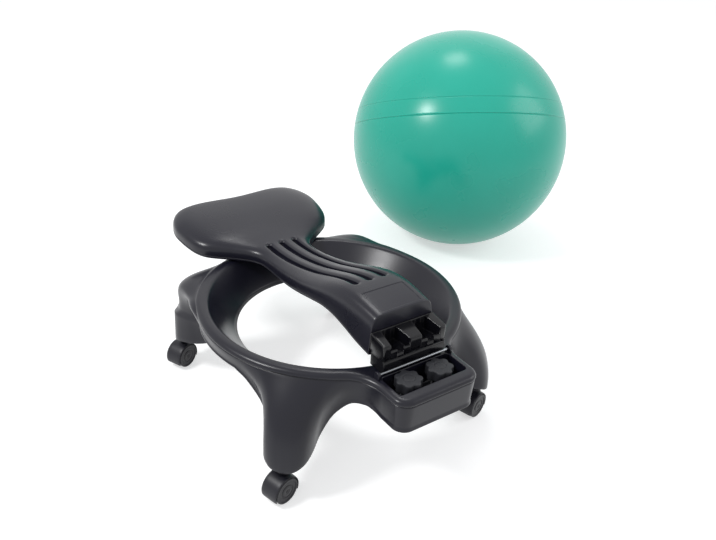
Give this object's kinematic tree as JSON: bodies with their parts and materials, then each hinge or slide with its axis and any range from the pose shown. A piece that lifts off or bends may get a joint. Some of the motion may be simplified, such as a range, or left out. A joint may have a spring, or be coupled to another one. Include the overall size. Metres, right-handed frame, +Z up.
{
  "type": "balance ball chair",
  "caption": "Balance ball chair: moulded ring base on casters, back folded down over the ring on a cross pin, star knobs in a tray, exercise ball beside it.",
  "frame": {"origin": "on the floor under the middle of the bounding box of the chair and its ball", "axes": "+Z up; the ring base lies towards +X and +Y of the ball; +Y from the chair's front towards its knob tray; +X to the sitter's left when seated facing -Y"},
  "size_m": [1.131, 0.9608, 0.5197],
  "materials": {
    "black_plastic": "satin moulded black plastic with a fine grain",
    "gloss_plastic": "glossier moulded black plastic",
    "knob_plastic": "matte dark grey moulded plastic",
    "wheel_plastic": "satin nylon, dark grey",
    "steel": "zinc plated steel",
    "brass": "turned brass",
    "ball_vinyl": "satin teal vinyl, slightly translucent"
  },
  "bodies": {
    "base": {"base_frame": "black_plastic", "hinge_pin": "steel", "threaded_insert_left": "brass", "threaded_insert_right": "brass", "caster_socket_rear_left": "steel", "caster_socket_rear_right": "steel", "caster_socket_front_right": "steel", "caster_socket_front_left": "steel"},
    "back": {"back_rear_shell": "black_plastic", "back_front_shell": "black_plastic", "foot_block": "gloss_plastic", "back_screw_1": "steel", "back_screw_2": "steel", "back_screw_3": "steel", "back_screw_4": "steel", "back_screw_5": "steel", "back_screw_6": "steel", "back_screw_7": "steel", "back_screw_8": "steel"},
    "washer_right": {"knob_washer_right": "steel"},
    "knob_right": {"knob_head_right": "knob_plastic", "knob_stud_right": "steel"},
    "washer_left": {"knob_washer_left": "steel"},
    "knob_left": {"knob_head_left": "knob_plastic", "knob_stud_left": "steel"},
    "caster_rear_left": {"caster_stem_rear_left": "steel", "caster_hood_rear_left": "wheel_plastic", "caster_axle_rear_left": "steel"},
    "wheel_rear_left_a": {"caster_wheel_rear_left_a": "wheel_plastic"},
    "wheel_rear_left_b": {"caster_wheel_rear_left_b": "wheel_plastic"},
    "caster_rear_right": {"caster_stem_rear_right": "steel", "caster_hood_rear_right": "wheel_plastic", "caster_axle_rear_right": "steel"},
    "wheel_rear_right_a": {"caster_wheel_rear_right_a": "wheel_plastic"},
    "wheel_rear_right_b": {"caster_wheel_rear_right_b": "wheel_plastic"},
    "caster_front_right": {"caster_stem_front_right": "steel", "caster_hood_front_right": "wheel_plastic", "caster_axle_front_right": "steel"},
    "wheel_front_right_a": {"caster_wheel_front_right_a": "wheel_plastic"},
    "wheel_front_right_b": {"caster_wheel_front_right_b": "wheel_plastic"},
    "caster_front_left": {"caster_stem_front_left": "steel", "caster_hood_front_left": "wheel_plastic", "caster_axle_front_left": "steel"},
    "wheel_front_left_a": {"caster_wheel_front_left_a": "wheel_plastic"},
    "wheel_front_left_b": {"caster_wheel_front_left_b": "wheel_plastic"},
    "ball": {"ball_shell": "ball_vinyl", "valve_plug": "ball_vinyl"}
  },
  "joints": [
    {"name": "back_fold", "type": "hinge", "parent": "base", "child": "back", "pos_m": [0.32898, 0.4086, 0.211], "axis": [-1, 0, 0], "range_deg": [0, 90]},
    {"name": "washer_right_slide", "type": "slide", "parent": "base", "child": "washer_right", "axis": [0, 0, -1], "range_m": [0, 0.008]},
    {"name": "knob_right_turn", "type": "hinge", "parent": "washer_right", "child": "knob_right", "pos_m": [0.29898, 0.4349, 0.2], "axis": [0, 0, -1], "range_deg": [0, 2300]},
    {"name": "washer_left_slide", "type": "slide", "parent": "base", "child": "washer_left", "axis": [0, 0, -1], "range_m": [0, 0.008]},
    {"name": "knob_left_turn", "type": "hinge", "parent": "washer_left", "child": "knob_left", "pos_m": [0.35898, 0.4349, 0.2], "axis": [0, 0, -1], "range_deg": [0, 2300]},
    {"name": "caster_rear_left_swivel", "type": "hinge", "parent": "base", "child": "caster_rear_left", "pos_m": [0.52694, 0.35994, 0.06], "axis": [0, 0, 1], "continuous": true},
    {"name": "wheel_rear_left_a_spin", "type": "hinge", "parent": "caster_rear_left", "child": "wheel_rear_left_a", "pos_m": [0.53659, 0.36253, 0.0225], "axis": [-0.2588, 0.9659, 0], "continuous": true},
    {"name": "wheel_rear_left_b_spin", "type": "hinge", "parent": "caster_rear_left", "child": "wheel_rear_left_b", "pos_m": [0.53659, 0.36253, 0.0225], "axis": [-0.2588, 0.9659, 0], "continuous": true},
    {"name": "caster_rear_right_swivel", "type": "hinge", "parent": "base", "child": "caster_rear_right", "pos_m": [0.13103, 0.35994, 0.06], "axis": [0, 0, 1], "continuous": true},
    {"name": "wheel_rear_right_a_spin", "type": "hinge", "parent": "caster_rear_right", "child": "wheel_rear_right_a", "pos_m": [0.14069, 0.36253, 0.0225], "axis": [-0.2588, 0.9659, 0], "continuous": true},
    {"name": "wheel_rear_right_b_spin", "type": "hinge", "parent": "caster_rear_right", "child": "wheel_rear_right_b", "pos_m": [0.14069, 0.36253, 0.0225], "axis": [-0.2588, 0.9659, 0], "continuous": true},
    {"name": "caster_front_right_swivel", "type": "hinge", "parent": "base", "child": "caster_front_right", "pos_m": [0.14643, -0.04416, 0.06], "axis": [0, 0, 1], "continuous": true},
    {"name": "wheel_front_right_a_spin", "type": "hinge", "parent": "caster_front_right", "child": "wheel_front_right_a", "pos_m": [0.15609, -0.04157, 0.0225], "axis": [-0.2588, 0.9659, 0], "continuous": true},
    {"name": "wheel_front_right_b_spin", "type": "hinge", "parent": "caster_front_right", "child": "wheel_front_right_b", "pos_m": [0.15609, -0.04157, 0.0225], "axis": [-0.2588, 0.9659, 0], "continuous": true},
    {"name": "caster_front_left_swivel", "type": "hinge", "parent": "base", "child": "caster_front_left", "pos_m": [0.51153, -0.04416, 0.06], "axis": [0, 0, 1], "continuous": true},
    {"name": "wheel_front_left_a_spin", "type": "hinge", "parent": "caster_front_left", "child": "wheel_front_left_a", "pos_m": [0.52067, -0.04009, 0.0225], "axis": [-0.4067, 0.9135, 0], "continuous": true},
    {"name": "wheel_front_left_b_spin", "type": "hinge", "parent": "caster_front_left", "child": "wheel_front_left_b", "pos_m": [0.52067, -0.04009, 0.0225], "axis": [-0.4067, 0.9135, 0], "continuous": true},
    {"name": "ball_lift", "type": "slide", "parent": "base", "child": "ball", "axis": [0, 0, 1], "range_m": [0, 0.3]}
  ],
  "couplings": [
    {"joint": "washer_right_slide", "follows": "knob_right_turn", "m_per_rad": 0.00019894},
    {"joint": "washer_left_slide", "follows": "knob_left_turn", "m_per_rad": 0.00019894}
  ]
}
